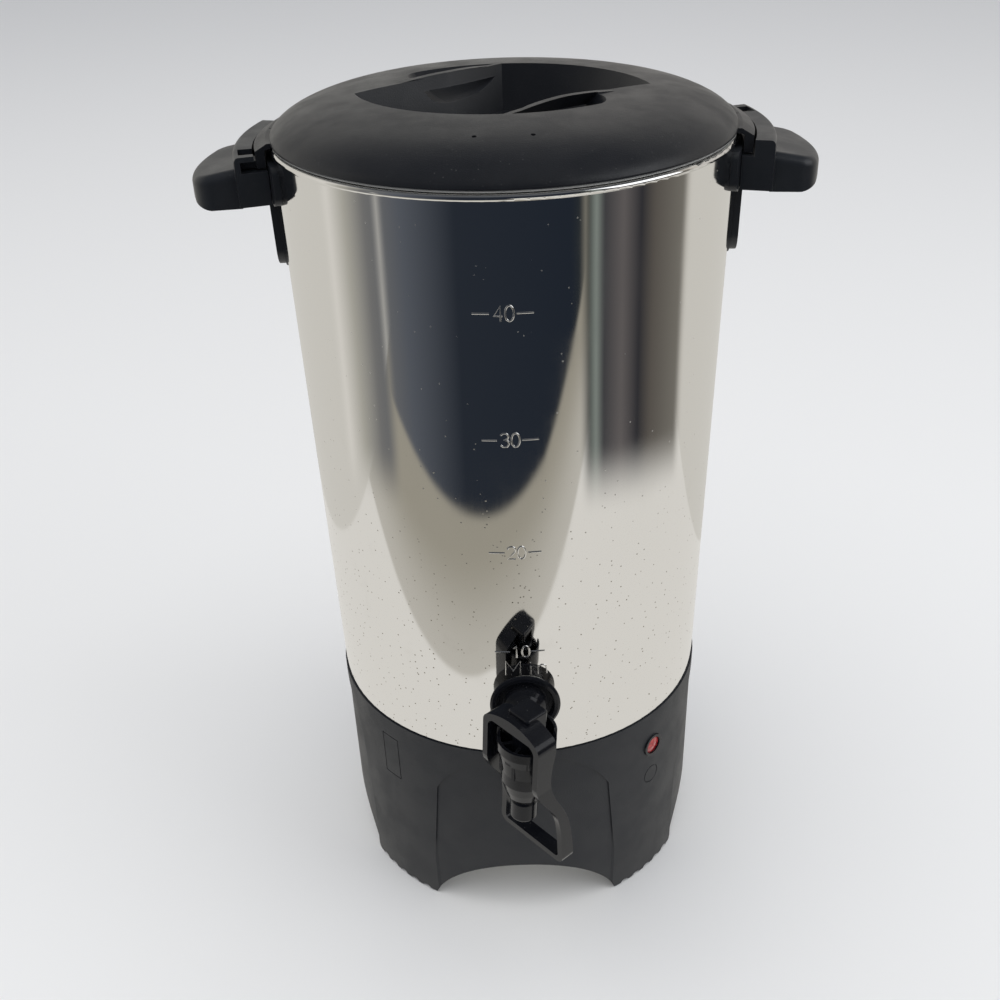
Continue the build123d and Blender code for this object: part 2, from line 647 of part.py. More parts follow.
def make_tap_seal_inner():
    ring = along_y(12.0, -110, -90.0, TAP_Z, TAP_X) - along_y(THREAD_R + 0.05, -120, -70, TAP_Z, TAP_X)
    return ring & steel_cone(110, 180, -STEEL - 0.01)


def make_tap_nut():
    nut = Pos(0, -84.5, TAP_Z) * Rot(90, 0, 0) * hexagon(23, 5.5)
    return at_tap(nut - along_y(THREAD_R, -95, -80, TAP_Z))


def make_tap_bonnet():
    cap = lathe([(STEM_R + 0.06, NECK_TOP), (7.7, NECK_TOP), (7.7, NECK_TOP + 1.8), (7.1, NECK_TOP + 2.4),
                 (STEM_R + 0.06, NECK_TOP + 2.4)])
    plug = tube(CHAMBER_R - 0.05, STEM_R + 0.06, NECK_TOP - 2, NECK_TOP)
    flutes = [Rot(0, 0, turn) * Pos(8.1, 0, NECK_TOP) * Cylinder(0.7, 8) for turn in range(0, 360, 20)]
    return at_barrel(cap + plug - flutes)


def make_tap_seat():
    cup = lathe([(0, SEAT_Z - 0.9), (3.4, SEAT_Z - 0.9), (5.0, SEAT_Z + 0.9), (5.0, SEAT_Z + 7), (2.6, SEAT_Z + 8),
                 (0, SEAT_Z + 8)])
    return at_barrel(cup - rod(STEM_R + 0.06, SEAT_Z + 3.8, SEAT_Z + 10))


def make_tap_spring():
    low = SEAT_Z + 8.6
    high = NECK_TOP - 2.4
    wire = 0.4
    turns = 6
    path = Pos(0, 0, low) * Helix(pitch=(high - low) / turns, height=high - low, radius=3.5)
    section = Plane(origin=path @ 0, z_dir=path % 0) * Circle(wire)
    return at_barrel(sweep(section, path=path, is_frenet=True))


def make_tap_stem():
    shaft = rod(STEM_R, SEAT_Z + 4.0, PIN_Z - 2)
    head = block(-3.1, 3.1, -3.0, 3.0, NECK_TOP + 2.8, PIN_Z) + along_x(3.0, -3.1, 3.1, PIN_Z)
    head -= along_x(PIN_R, -4, 4, PIN_Z)
    return at_lever(shaft + head)


def make_tap_pin():
    return at_lever(along_x(PIN_R, -6.2, 6.2, PIN_Z))


def lever_outline():
    # closed loop seen from the front: splayed sides under an arched top
    flare, foot, wide, knee, shoulder, band = 20.4, 78.0, 17.3, 128.0, 153.4, 3.0
    sides = Polyline((-wide, shoulder), (-wide, knee), (-flare, foot), (flare, foot), (wide, knee), (wide, shoulder))
    arch = ThreePointArc((wide, shoulder), (0, 159.0), (-wide, shoulder))
    outer = make_face([*sides.edges(), *arch.edges()])
    inner = make_face(Polyline((band - flare, foot + band), (flare - band, foot + band), (wide - band, knee),
                               (wide - band, 153.1), (band - wide, 153.1), (band - wide, knee), close=True))
    outer = fillet(outer.vertices().sort_by(Axis.Y)[:2], 4.0)
    outer = fillet(outer.vertices().filter_by(lambda v: abs(v.Y - shoulder) < 0.01), 5.0)
    inner = fillet(inner.vertices().sort_by(Axis.Y)[:2], 2.0)
    return outer - fillet(inner.vertices().sort_by(Axis.Y)[-2:], 4.0)


def lever_side():
    # depth of the loop seen from the side: upright beside the barrel, then curving in towards the urn
    front = Spline((-10.3, 131), (-8.6, 125.5), (-4.8, 119.4), (2.1, 109), (5.2, 93.5), (6.0, 78))
    back = Spline((13.0, 78), (12.0, 92), (7.7, 109), (0.0, 124), (-1.6, 133), (-0.7, 141), (0.6, 147))
    head = Polyline((0.6, 147), (0.6, 165), (-10.3, 165), (-10.3, 131))
    return make_face([*front.edges(), *Line((6.0, 78), (13.0, 78)).edges(), *back.edges(), *head.edges()])


def make_tap_lever():
    hub_half = 6.3
    loop = extrude(Plane.XZ * lever_outline(), 40, both=True)
    loop = loop & extrude(Plane.YZ * lever_side(), 40, both=True)
    hub = block(-hub_half, hub_half, -hub_half, hub_half, PIN_Z - 3.4, PIN_Z + 5.8)
    hub = fillet(hub.edges().filter_by(Axis.Z), 1.5)
    hub = fillet(hub.edges().group_by(Axis.Z)[-1], 1.0)
    lever = loop + hub
    lever -= block(-3.4, 3.4, -4.8, hub_half + 1, PIN_Z - 6, PIN_Z + 3.4)
    lever -= along_x(PIN_R + 0.05, -hub_half, hub_half, PIN_Z)
    return at_lever(lever)


# brewing parts


def make_perk_tube():
    tube_body = tube(TUBE_R, TUBE_R - SHEET, 97.0, TUBE_TOP)
    stop = tube(TUBE_R + 2.0, TUBE_R - 0.1, BASKET_Z - 3, BASKET_Z - 0.3)
    return tube_body + stop


def make_pump_foot():
    low = WELL_Z + STEEL + 0.3
    bell = lathe([(27.0, low), (28.2, low), (28.2, low + 4), (12, low + 9.0), (TUBE_R + 1.6, low + 12), (TUBE_R + 1.6, low + 22),
                  (TUBE_R, low + 22), (TUBE_R, low + 9.7), (10, low + 8.0), (27.0, low + 3.2)])
    ports = [Rot(0, 0, turn) * Pos(27, 0, low) * Cylinder(2.5, 4.5) for turn in range(0, 360, 60)]
    cage = tube(6.0, 4.8, low + 4.7, low + 7.3) - around(block(0, 8, -1, 1, low + 4.8, low + 8), (0, 120, 240))
    seat = tube(9.5, 2.6, low + 3.6, low + 4.8) + cage
    spokes = [Rot(0, 0, turn) * block(8.5, 27.5, -1.2, 1.2, low + 3.6, low + 4.8) for turn in (0, 120, 240)]
    return bell + seat + spokes - ports


def make_pump_valve():
    low = WELL_Z + STEEL + 0.3 + 4.8
    return tube(4.4, 0.7, low + 0.05, low + 0.85)


def make_basket():
    top = BASKET_Z + BASKET_H
    pan = lathe([(0, BASKET_Z), (BASKET_R, BASKET_Z), (BASKET_R, top), (BASKET_R + 1.6, top), (BASKET_R + 1.6, top + SHEET),
                 (BASKET_R - SHEET, top + SHEET), (BASKET_R - SHEET, BASKET_Z + SHEET), (0, BASKET_Z + SHEET)],
                rounds=((1, 4.0), (6, 3.2)))
    sleeve = rod(TUBE_R + 1.5, BASKET_Z, top - 4)
    basket = pan + sleeve - rod(TUBE_R + 0.4, BASKET_Z - 5, top + 5)
    holes = [Pos(*point(ring, 360 * i / count)) * rod(1.2, BASKET_Z - 1, BASKET_Z + 2)
             for ring, count in ((16, 8), (28, 14), (40, 20)) for i in range(count)]
    return basket - holes


def make_spreader():
    low = BASKET_Z + BASKET_H + SHEET + 0.3
    disc = lathe([(TUBE_R + 1.2, low + 1.5), (BASKET_R - 6, low + 1.5), (BASKET_R - 3, low), (BASKET_R + 1.0, low),
                  (BASKET_R + 1.0, low + SHEET), (BASKET_R - 2.7, low + SHEET), (BASKET_R - 5.7, low + 1.5 + SHEET),
                  (TUBE_R + 2.0, low + 1.5 + SHEET), (TUBE_R + 2.0, low + 7), (TUBE_R + 1.2, low + 7)])
    holes = [Pos(*point(ring, 360 * i / count)) * rod(1.3, low, low + 4)
             for ring, count in ((14, 8), (26, 12), (38, 18)) for i in range(count)]
    return disc - holes


# all nodes


def make_nodes():
    return {
        "tank": make_tank(),
        "base_shell": make_base_shell(),
        "bottom_cover": make_bottom_cover(),
        "cover_screws": make_cover_screws(),
        "foot_pads": make_foot_pads(),
        "lamp_lens": make_lamp_lens(),
        "lamp_bezel": make_lamp_bezel(),
        "lamp_body": make_lamp_body(),
        "mains_inlet": make_inlet(),
        "inlet_pins": make_inlet_pins(),
        "inlet_screws": make_inlet_screws(),
        "brew_heater": make_brew_heater(),
        "heater_clamp": make_clamp_plate(),
        "heater_stud": make_heater_stud(),
        "heater_nut": make_heater_nut(),
        "keep_warm_heater": make_keep_warm_heater(),
        "thermostat": make_thermostat(),
        "thermal_fuse": make_thermal_fuse(),
        "fuse_clip": make_fuse_clip(),
        "lid": make_lid(),
        "lid_seal": make_lid_seal(),
        "handle_right": make_handle(0),
        "handle_left": make_handle(180),
        "handle_spacer_right": make_handle_spacer(0),
        "handle_spacer_left": make_handle_spacer(180),
        "handle_screws": make_handle_screws(),
        "handle_washers": make_handle_washers(),
        "tap_body": make_tap_body(),
        "tap_seal_outer": make_tap_seal_outer(),
        "tap_seal_inner": make_tap_seal_inner(),
        "tap_nut": make_tap_nut(),
        "tap_bonnet": make_tap_bonnet(),
        "tap_seat": make_tap_seat(),
        "tap_spring": make_tap_spring(),
        "tap_stem": make_tap_stem(),
        "tap_pin": make_tap_pin(),
        "tap_lever": make_tap_lever(),
        "perk_tube": make_perk_tube(),
        "pump_foot": make_pump_foot(),
        "pump_valve": make_pump_valve(),
        "coffee_basket": make_basket(),
        "basket_spreader": make_spreader(),
    }


os.makedirs("parts", exist_ok=True)
for node, shape in make_nodes().items():
    export_step(shape, f"parts/{node}.step")
    print(node)
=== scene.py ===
import bpy
import json
import math
from mathutils import Matrix, Vector


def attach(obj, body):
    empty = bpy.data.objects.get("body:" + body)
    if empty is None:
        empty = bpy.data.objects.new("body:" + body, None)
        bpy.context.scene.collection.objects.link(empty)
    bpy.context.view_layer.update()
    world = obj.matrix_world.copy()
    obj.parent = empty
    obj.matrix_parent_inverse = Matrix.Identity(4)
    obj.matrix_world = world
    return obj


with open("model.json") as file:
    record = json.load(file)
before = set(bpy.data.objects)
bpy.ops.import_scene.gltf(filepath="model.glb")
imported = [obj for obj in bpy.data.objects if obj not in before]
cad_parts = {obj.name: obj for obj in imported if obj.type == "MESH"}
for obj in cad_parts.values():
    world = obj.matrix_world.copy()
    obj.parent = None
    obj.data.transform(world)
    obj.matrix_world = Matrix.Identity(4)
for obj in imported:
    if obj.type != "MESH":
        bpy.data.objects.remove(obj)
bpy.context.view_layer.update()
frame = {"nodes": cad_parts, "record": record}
print("frame loaded with", len(frame["nodes"]), "nodes")


cameraView = {
    "place": (0.0, -0.5342, 0.5084), "tiltDown": 30.537, "turn": -0.782, "roll": -2.093, "lens": 44.11,
    "sensorWidth": 36, "nearest": 0.01}


def makeCamera(view):
    bpy.ops.object.select_all(action="DESELECT")
    tilt, turn, roll = (math.radians(view[key]) for key in ("tiltDown", "turn", "roll"))
    forward = Vector((math.sin(turn) * math.cos(tilt), math.cos(turn) * math.cos(tilt), -math.sin(tilt)))
    level = Vector((math.cos(turn), -math.sin(turn), 0))
    rise = level.cross(forward)
    right = level * math.cos(roll) + rise * math.sin(roll)
    up = rise * math.cos(roll) - level * math.sin(roll)
    bpy.ops.object.camera_add()
    camera = bpy.context.active_object
    camera.name = "viewCamera"
    facing = Matrix((right, up, -forward)).transposed().to_4x4()
    camera.matrix_world = Matrix.Translation(view["place"]) @ facing
    camera.data.lens = view["lens"]
    camera.data.sensor_width = view["sensorWidth"]
    camera.data.clip_start = view["nearest"]
    bpy.context.scene.camera = camera


makeCamera(cameraView)
bpy.context.scene.view_settings.view_transform = "Standard"
print("camera placed")


def feed(tree, value, socket):
    # another node's output, or a plain value
    if isinstance(value, bpy.types.NodeSocket):
        tree.links.new(value, socket)
    else:
        socket.default_value = value


def addNode(tree, kind, inputs=None, **settings):
    node = tree.nodes.new(kind)
    for name, value in settings.items():
        setattr(node, name, value)
    for name, value in (inputs or {}).items():
        feed(tree, value, node.inputs[name])
    return node


def mathNode(tree, operation, first, second=0.5, third=None, clamp=False):
    values = {0: first, 1: second}
    if third is not None:
        values[2] = third
    return addNode(tree, "ShaderNodeMath", values, operation=operation, use_clamp=clamp).outputs[0]


def times(tree, first, second):
    return mathNode(tree, "MULTIPLY", first, second)


def spread(tree, value, low, high, toLow=0.0, toHigh=1.0):
    # a soft step from low to high
    inputs = {"Value": value, "From Min": low, "From Max": high, "To Min": toLow, "To Max": toHigh}
    return addNode(tree, "ShaderNodeMapRange", inputs, interpolation_type="SMOOTHSTEP").outputs["Result"]


def mixColour(tree, amount, first, second):
    return addNode(tree, "ShaderNodeMix", {0: amount, 6: first, 7: second}, data_type="RGBA").outputs[2]


def mixShader(tree, amount, first, second):
    return addNode(tree, "ShaderNodeMixShader", {0: amount, 1: first.outputs[0], 2: second.outputs[0]})


def noise(tree, place, scale, detail=3.0, rough=0.5, stretch=None):
    if stretch:
        place = addNode(tree, "ShaderNodeMapping", {"Vector": place, "Scale": stretch}).outputs["Vector"]
    inputs = {"Vector": place, "Scale": scale, "Detail": detail, "Roughness": rough}
    return addNode(tree, "ShaderNodeTexNoise", inputs).outputs["Fac"]


def objectPlace(tree):
    return addNode(tree, "ShaderNodeTexCoord").outputs["Object"]


def newGroup(name, inputs, outputs):
    group = bpy.data.node_groups.new(name, "ShaderNodeTree")
    for label, value in inputs.items():
        socket = group.interface.new_socket(name=label, in_out="INPUT", socket_type="NodeSocketFloat")
        socket.default_value = value
    for label in outputs:
        group.interface.new_socket(name=label, in_out="OUTPUT", socket_type="NodeSocketFloat")
    return group, group.nodes.new("NodeGroupInput").outputs, group.nodes.new("NodeGroupOutput").inputs


def useGroup(tree, group, **values):
    node = addNode(tree, "ShaderNodeGroup", node_tree=group)
    for name, value in values.items():
        feed(tree, value, node.inputs[name[0].upper() + name[1:]])
    return node.outputs


dustShape = {"dot": (0.16, 0.05), "share": 0.35, "upward": (0.2, 0.9), "patchScale": 35.0, "patches": (0.4, 0.62)}


def makeDust(shape):
    # specks that gather on faces that look up, over a thin patchy film
    group, given, out = newGroup("dustSpecks", {"Scale": 900.0, "Amount": 0.5, "Sides": 0.15}, ["Specks", "Film"])
    place = objectPlace(group)
    cells = addNode(group, "ShaderNodeTexVoronoi", {"Vector": place, "Scale": given["Scale"], "Randomness": 1.0})
    dot = spread(group, cells.outputs["Distance"], *shape["dot"])
    chance = addNode(group, "ShaderNodeSeparateColor", {"Color": cells.outputs["Color"]}).outputs["Red"]
    few = mathNode(group, "LESS_THAN", chance, times(group, given["Amount"], shape["share"]))
    normal = addNode(group, "ShaderNodeNewGeometry").outputs["Normal"]
    height = addNode(group, "ShaderNodeSeparateXYZ", {"Vector": normal}).outputs["Z"]
    upward = mathNode(group, "MAXIMUM", spread(group, height, *shape["upward"]), given["Sides"])
    patches = spread(group, noise(group, place, shape["patchScale"]), *shape["patches"])
    group.links.new(times(group, times(group, dot, few), upward), out["Specks"])
    group.links.new(times(group, times(group, patches, upward), given["Amount"]), out["Film"])
    return group


grainShape = {"slowScale": 28.0, "cloudScale": 60.0}


def makeGrain(shape):
    # fine moulded texture, with a slow unevenness under it
    group, given, out = newGroup("mouldGrain", {"Scale": 1500.0, "Depth": 0.3, "Wave": 0.2}, ["Height", "Cloud"])
    place = objectPlace(group)
    fine = noise(group, place, given["Scale"], detail=2.0, rough=0.6)
    slow = noise(group, place, shape["slowScale"], detail=2.0)
    height = mathNode(group, "ADD", times(group, fine, given["Depth"]), times(group, slow, given["Wave"]))
    group.links.new(height, out["Height"])
    group.links.new(noise(group, place, shape["cloudScale"], detail=4.0, rough=0.6), out["Cloud"])
    return group


edgeShape = {"edge": (0.985, 0.8), "brokenScale": 260.0, "broken": (0.35, 0.6), "samples": 4}


def makeEdges(shape):
    # pale rubbed edges, found by rounding the normal
    group, given, out = newGroup("rubbedEdges", {"Width": 0.0006}, ["Mask"])
    rounded = addNode(group, "ShaderNodeBevel", {"Radius": given["Width"]}, samples=shape["samples"]).outputs["Normal"]
    normal = addNode(group, "ShaderNodeNewGeometry").outputs["Normal"]
    close = addNode(group, "ShaderNodeVectorMath", {0: rounded, 1: normal}, operation="DOT_PRODUCT").outputs["Value"]
    edge = spread(group, close, *shape["edge"])
    worn = noise(group, objectPlace(group), shape["brokenScale"], detail=4.0, rough=0.65)
    broken = spread(group, worn, *shape["broken"])
    group.links.new(times(group, edge, broken), out["Mask"])
    return group


dustSpecks = makeDust(dustShape)
mouldGrain = makeGrain(grainShape)
rubbedEdges = makeEdges(edgeShape)
print("shared effects made")


def newMaterial(name):
    material = bpy.data.materials.new(name)
    material.use_nodes = True
    tree = material.node_tree
    tree.nodes.clear()
    shader = tree.nodes.new("ShaderNodeBsdfPrincipled")
    output = tree.nodes.new("ShaderNodeOutputMaterial")
    tree.links.new(shader.outputs["BSDF"], output.inputs["Surface"])
    return material, tree, shader


def bump(tree, shader, height, distance):
    node = addNode(tree, "ShaderNodeBump", {"Height": height, "Distance": distance, "Strength": 1.0})
    tree.links.new(node.outputs["Normal"], shader.inputs["Normal"])


plainPlastic = {
    "colour": (0.010, 0.011, 0.013, 1), "paler": (0.016, 0.017, 0.020, 1),
    "rough": 0.42, "roughSpread": 0.05, "cloud": (0.3, 0.7), "ior": 1.5, "shine": 0.4,
    "grainScale": 1800.0, "grain": 0.35, "wave": 0.1, "bump": 0.00022,
    "dust": 0.35, "dustScale": 700.0, "dustSides": 0.1, "specks": 0.35, "dustColour": (0.30, 0.30, 0.29, 1),
    "film": 0.03, "filmDull": 0.06,
    "edge": 0.25, "edgeWidth": 0.0006, "edgeColour": (0.06, 0.06, 0.065, 1)}
plasticLooks = {
    "basePlastic": dict(
        plainPlastic, colour=(0.012, 0.014, 0.018, 1), paler=(0.017, 0.019, 0.024, 1), rough=0.5, grain=0.5,
        dust=0.5, dustSides=0.35),
    "lidPlastic": dict(
        plainPlastic, colour=(0.007, 0.008, 0.010, 1), paler=(0.011, 0.012, 0.015, 1), rough=0.34,
        dust=0.75, dustScale=620.0, specks=0.3, film=0.006),
    "handlePlastic": dict(
        plainPlastic, colour=(0.009, 0.011, 0.014, 1), paler=(0.014, 0.016, 0.020, 1), rough=0.36, shine=0.5,
        grain=0.2, dust=0.5),
    "tapPlastic": dict(
        plainPlastic, colour=(0.004, 0.0045, 0.006, 1), paler=(0.006, 0.0065, 0.009, 1), rough=0.16, shine=0.32,
        grain=0.06, wave=0.35, dust=0.5, edge=0.3),
    "inletPlastic": dict(plainPlastic, rough=0.3, grain=0.15),
    "rubber": dict(plainPlastic, rough=0.75, shine=0.3, grain=0.6, dust=0.6),
    "silicone": dict(
        plainPlastic, colour=(0.36, 0.36, 0.34, 1), paler=(0.44, 0.44, 0.42, 1), rough=0.55,
        edgeColour=(0.5, 0.5, 0.48, 1), dustColour=(0.2, 0.19, 0.17, 1))}


def makePlastic(name, look):
    # moulded plastic or rubber: cloudy colour, a thin film, rubbed edges, specks of dust
    material, tree, shader = newMaterial(name)
    grain = useGroup(tree, mouldGrain, scale=look["grainScale"], depth=look["grain"], wave=look["wave"])
    dust = useGroup(tree, dustSpecks, scale=look["dustScale"], amount=look["dust"], sides=look["dustSides"])
    edges = useGroup(tree, rubbedEdges, width=look["edgeWidth"])
    colour = mixColour(tree, grain["Cloud"], look["colour"], look["paler"])
    colour = mixColour(tree, times(tree, dust["Film"], look["film"]), colour, look["dustColour"])
    colour = mixColour(tree, times(tree, edges["Mask"], look["edge"]), colour, look["edgeColour"])
    colour = mixColour(tree, times(tree, dust["Specks"], look["specks"]), colour, look["dustColour"])
    tree.links.new(colour, shader.inputs["Base Color"])
    smoothest, roughest = look["rough"] - look["roughSpread"], look["rough"] + look["roughSpread"]
    rough = spread(tree, grain["Cloud"], *look["cloud"], smoothest, roughest)
    rough = mathNode(tree, "ADD", rough, times(tree, dust["Film"], look["filmDull"]), clamp=True)
    tree.links.new(rough, shader.inputs["Roughness"])
    shader.inputs["IOR"].default_value = look["ior"]
    shader.inputs["Specular IOR Level"].default_value = look["shine"]
    bump(tree, shader, grain["Height"], look["bump"])
    return material


plainMetal = {
    "colour": (0.62, 0.62, 0.6, 1), "stainColour": (0.45, 0.42, 0.36, 1),
    "stain": 0.5, "stainScale": 66.0, "stainRange": (0.58, 0.72),
    "rough": 0.22, "roughSpread": 0.12, "smudge": 0.12, "smudgeScale": 22.0, "smudgeRange": (0.42, 0.66),
    "grainScale": 700.0, "stretch": (1, 1, 0.06), "bump": 0.00004}
metalLooks = {
    "spunAluminium": dict(plainMetal, colour=(0.72, 0.73, 0.74, 1), rough=0.28),
    "satinSteel": plainMetal,
    "zincPlate": dict(
        plainMetal, colour=(0.52, 0.52, 0.5, 1), rough=0.34, stretch=(1, 1, 1), grainScale=420.0, stain=0.7),
    "brass": dict(plainMetal, colour=(0.72, 0.56, 0.27, 1), rough=0.24)}


def makeMetal(name, look):
    # sheet or turned metal with a drawn grain, smudges and dull spots
    material, tree, shader = newMaterial(name)
    place = objectPlace(tree)
    grain = noise(tree, place, look["grainScale"], detail=2.0, rough=0.6, stretch=look["stretch"])
    smudge = spread(tree, noise(tree, place, look["smudgeScale"], detail=4.0, rough=0.6), *look["smudgeRange"])
    stains = spread(tree, noise(tree, place, look["stainScale"], detail=5.0, rough=0.65), *look["stainRange"])
    tint = mixColour(tree, times(tree, stains, look["stain"]), look["colour"], look["stainColour"])
    tree.links.new(tint, shader.inputs["Base Color"])
    rough = mathNode(tree, "MULTIPLY_ADD", smudge, look["smudge"], look["rough"])
    rough = mathNode(tree, "MULTIPLY_ADD", grain, look["roughSpread"], rough, clamp=True)
    tree.links.new(rough, shader.inputs["Roughness"])
    shader.inputs["Metallic"].default_value = 1.0
    bump(tree, shader, grain, look["bump"])
    return material


polishedSteel = {
    "colour": (0.87, 0.86, 0.84, 1), "stainColour": (0.20, 0.165, 0.11, 1), "rough": 0.035, "lowDown": (0.31, 0.15),
    "drops": 0.85, "dropScale": 420.0, "dropEdge": (0.2, 0.1), "dropShare": 0.42, "dropLeast": 0.05,
    "dropRough": 0.35, "dropHeight": 0.06,
    "blotch": 0.05, "blotchScale": 55.0, "blotchRange": (0.56, 0.75),
    "film": 0.05, "filmScale": 16.0, "filmRange": (0.45, 0.7),
    "streak": 0.03, "streakScale": 900.0, "streakStretch": (1, 1, 0.03),
    "ripple": 0.00010, "rippleScale": 9.0, "rippleStretch": (1, 1, 0.35),
    "wallMiddle": 0.08952, "wallTaper": 0.02393, "insideRough": 0.36, "insideDull": 0.5}
steelLooks = {"vesselSteel": polishedSteel, "markSteel": dict(polishedSteel, rough=0.16, film=0.1)}


def makeSteel(name, look):
    # mirror-polished sheet: slow ripples, a film of fine scratches, dried drops towards the foot, satin inside
    material, tree, shader = newMaterial(name)
    place = objectPlace(tree)
    height = addNode(tree, "ShaderNodeSeparateXYZ", {"Vector": place}).outputs["Z"]
    lowDown = spread(tree, height, *look["lowDown"])
    cells = addNode(tree, "ShaderNodeTexVoronoi", {"Vector": place, "Scale": look["dropScale"], "Randomness": 1.0})
    drop = spread(tree, cells.outputs["Distance"], *look["dropEdge"])
    chance = addNode(tree, "ShaderNodeSeparateColor", {"Color": cells.outputs["Color"]}).outputs["Green"]
    share = mathNode(tree, "MULTIPLY_ADD", lowDown, look["dropShare"], look["dropLeast"])
    drops = times(tree, drop, mathNode(tree, "LESS_THAN", chance, share))
    blotch = spread(tree, noise(tree, place, look["blotchScale"], detail=5.0, rough=0.65), *look["blotchRange"])
    stain = mathNode(tree, "MAXIMUM", times(tree, drops, look["drops"]), times(tree, blotch, look["blotch"]))
    tint = mixColour(tree, times(tree, stain, lowDown), look["colour"], look["stainColour"])
    tree.links.new(tint, shader.inputs["Base Color"])
    # the inner face lies inside a tapered wall
    flat = addNode(tree, "ShaderNodeVectorMath", {0: place, 1: (1, 1, 0)}, operation="MULTIPLY").outputs["Vector"]
    radius = addNode(tree, "ShaderNodeVectorMath", {0: flat}, operation="LENGTH").outputs["Value"]
    wall = mathNode(tree, "MULTIPLY_ADD", height, look["wallTaper"], look["wallMiddle"])
    inside = mathNode(tree, "LESS_THAN", radius, wall)
    streak = noise(tree, place, look["streakScale"], detail=2.0, rough=0.6, stretch=look["streakStretch"])
    smear = spread(tree, noise(tree, place, look["filmScale"], detail=4.0, rough=0.6), *look["filmRange"])
    rough = mathNode(tree, "MULTIPLY_ADD", smear, look["film"], look["rough"])
    rough = mathNode(tree, "MULTIPLY_ADD", drops, look["dropRough"], rough)
    rough = mathNode(tree, "MULTIPLY_ADD", streak, look["streak"], rough, clamp=True)
    rough = mathNode(tree, "MAXIMUM", rough, times(tree, inside, look["insideRough"]))
    tree.links.new(rough, shader.inputs["Roughness"])
    metal = mathNode(tree, "MULTIPLY_ADD", inside, -look["insideDull"], 1.0)
    tree.links.new(metal, shader.inputs["Metallic"])
    ripple = noise(tree, place, look["rippleScale"], detail=2.0, rough=0.4, stretch=look["rippleStretch"])
    bump(tree, shader, mathNode(tree, "MULTIPLY_ADD", drops, look["dropHeight"], ripple), look["ripple"])
    return material


lampLook = {
    "colour": (0.30, 0.008, 0.012, 1), "rim": (0.5, 0.03, 0.03, 1), "rough": 0.12, "roughSpread": 0.1,
    "facetScale": 650.0, "facetRange": (0.1, 0.7), "ior": 1.49, "coat": 0.6, "bump": 0.0002}


def makeLampRed(name, look):
    # clear red lens over a faceted back
    material, tree, shader = newMaterial(name)
    cells = addNode(tree, "ShaderNodeTexVoronoi", {"Vector": objectPlace(tree), "Scale": look["facetScale"]})
    facets = cells.outputs["Distance"]
    tint = mixColour(tree, spread(tree, facets, *look["facetRange"]), look["rim"], look["colour"])
    tree.links.new(tint, shader.inputs["Base Color"])
    rough = spread(tree, facets, *look["facetRange"], look["rough"], look["rough"] + look["roughSpread"])
    tree.links.new(rough, shader.inputs["Roughness"])
    shader.inputs["IOR"].default_value = look["ior"]
    shader.inputs["Coat Weight"].default_value = look["coat"]
    bump(tree, shader, facets, look["bump"])
    return material


finishes = {name: makePlastic(name, look) for name, look in plasticLooks.items()}
finishes.update({name: makeMetal(name, look) for name, look in metalLooks.items()})
finishes.update({name: makeSteel(name, look) for name, look in steelLooks.items()})
finishes["lampRed"] = makeLampRed("lampRed", lampLook)
print("finishes made:", len(finishes))

# the finish for each material slot of the record
slotFinishes = {
    "steel": "vesselSteel", "steel_inner": "satinSteel", "black_plastic": "basePlastic",
    "handle_plastic": "handlePlastic", "lid_plastic": "lidPlastic", "gloss_black": "tapPlastic",
    "rubber_black": "rubber", "silicone": "silicone", "red_lens": "lampRed", "aluminium": "spunAluminium",
    "zinc_steel": "zincPlate", "brass_pins": "brass"}
nodeFinishes = {"mains_inlet": "inletPlastic"}  # nodes with a finish of their own


def dressNodes():
    slots = {part["node"]: part["material_slot"] for part in frame["record"]["subparts"]}
    for name, node in frame["nodes"].items():
        finish = nodeFinishes.get(name, slotFinishes[slots[name]])
        node.data.materials.clear()
        node.data.materials.append(finishes[finish])


dressNodes()
print("materials on", len(frame["nodes"]), "nodes")


# narrow says how much closer and thinner a letter stands
levelMarks = {
    "tall": 0.0064, "wide": 0.0034, "step": 0.0043, "narrow": {"n": (0.82, 0.8)}, "dashParts": 4,
    "halfThick": 0.00042, "sunk": 0.00012, "roundSteps": 3, "merge": 0.00001, "smoothAngle": 60, "finish": "markSteel",
    "lines": [
        {"name": "mark40", "text": "40", "z": 0.333, "firstX": -0.0058,
         "dashes": [(-0.0142, -0.0076), (0.0029, 0.0095)]},
        {"name": "mark30", "text": "30", "z": 0.278, "firstX": -0.0048,
         "dashes": [(-0.0125, -0.0063), (0.0038, 0.0106)]},
        {"name": "mark20", "text": "20", "z": 0.223, "firstX": -0.0036,
         "dashes": [(-0.0116, -0.0048), (0.0051, 0.0109)]},
        {"name": "mark10", "text": "10", "z": 0.169, "firstX": -0.0029,
         "dashes": [(-0.0108, -0.0040), (0.0054, 0.0116)]},
        {"name": "markLowest", "text": "Min", "z": 0.1597, "firstX": -0.0061, "dashes": [],
         "tall": 0.0079, "wide": 0.0066, "step": 0.0088}]}
steelWall = {"footZ": 0.1077, "rimZ": 0.3752, "footRadius": 0.0925, "widens": 0.0064}

